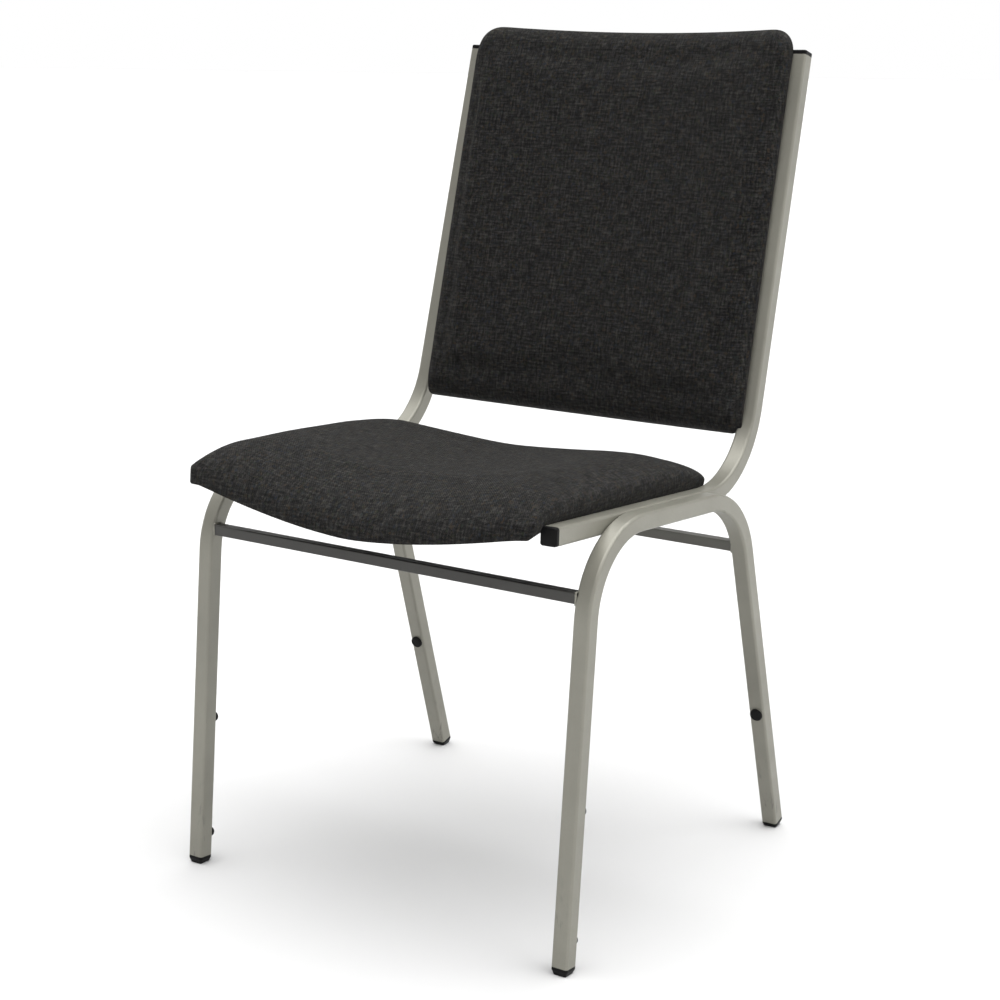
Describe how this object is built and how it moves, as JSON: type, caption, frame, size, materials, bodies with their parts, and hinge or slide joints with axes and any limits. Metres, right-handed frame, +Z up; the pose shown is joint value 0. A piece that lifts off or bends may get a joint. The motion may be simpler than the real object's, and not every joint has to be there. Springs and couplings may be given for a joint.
{
  "type": "stacking chair",
  "caption": "Stacking chair with a welded square-tube frame and an upholstered seat and high back, with stacking bumpers on the legs.",
  "frame": {"origin": "on the floor, under the middle of the chair's bounding box", "axes": "+Z up; -Y towards the front of the chair; +X towards the sitter's left"},
  "size_m": [0.5064, 0.5808, 0.9332],
  "materials": {
    "frame_paint": "satin silver-grey powder coat",
    "charcoal_fabric": "heathered charcoal upholstery weave",
    "dust_cloth": "black non-woven cloth",
    "black_plastic": "moulded black polyethylene",
    "bumper_rubber": "black rubber",
    "plywood": "raw beech plywood",
    "foam": "cut polyurethane foam",
    "zinc_steel": "bright zinc plate"
  },
  "bodies": {
    "root": {"leg_frame_left": "frame_paint", "leg_frame_right": "frame_paint", "seat_back_tube_left": "frame_paint", "seat_back_tube_right": "frame_paint", "front_crossbar": "frame_paint", "rear_crossbar": "frame_paint", "seat_lug_front_left": "frame_paint", "seat_lug_front_right": "frame_paint", "seat_lug_rear_left": "frame_paint", "seat_lug_rear_right": "frame_paint", "back_lug_lower_left": "frame_paint", "back_lug_lower_right": "frame_paint", "back_lug_upper_left": "frame_paint", "back_lug_upper_right": "frame_paint", "foot_glide_front_left": "black_plastic", "foot_glide_front_right": "black_plastic", "foot_glide_rear_left": "black_plastic", "foot_glide_rear_right": "black_plastic", "rail_cap_left": "black_plastic", "rail_cap_right": "black_plastic", "upright_cap_left": "black_plastic", "upright_cap_right": "black_plastic", "rear_bumper_left": "bumper_rubber", "rear_bumper_right": "bumper_rubber", "front_upper_bumper_left": "bumper_rubber", "front_upper_bumper_right": "bumper_rubber", "front_lower_bumper_left": "bumper_rubber", "front_lower_bumper_right": "bumper_rubber", "seat_cover": "charcoal_fabric", "back_cover": "charcoal_fabric", "back_rear_panel": "charcoal_fabric", "seat_dust_cover": "dust_cloth", "seat_board": "plywood", "back_board": "plywood", "seat_foam": "foam", "back_foam": "foam", "seat_tee_nuts": "zinc_steel", "back_tee_nuts": "zinc_steel", "seat_screws": "zinc_steel", "back_screws": "zinc_steel", "seat_staples": "zinc_steel", "back_staples": "zinc_steel"}
  },
  "joints": []
}
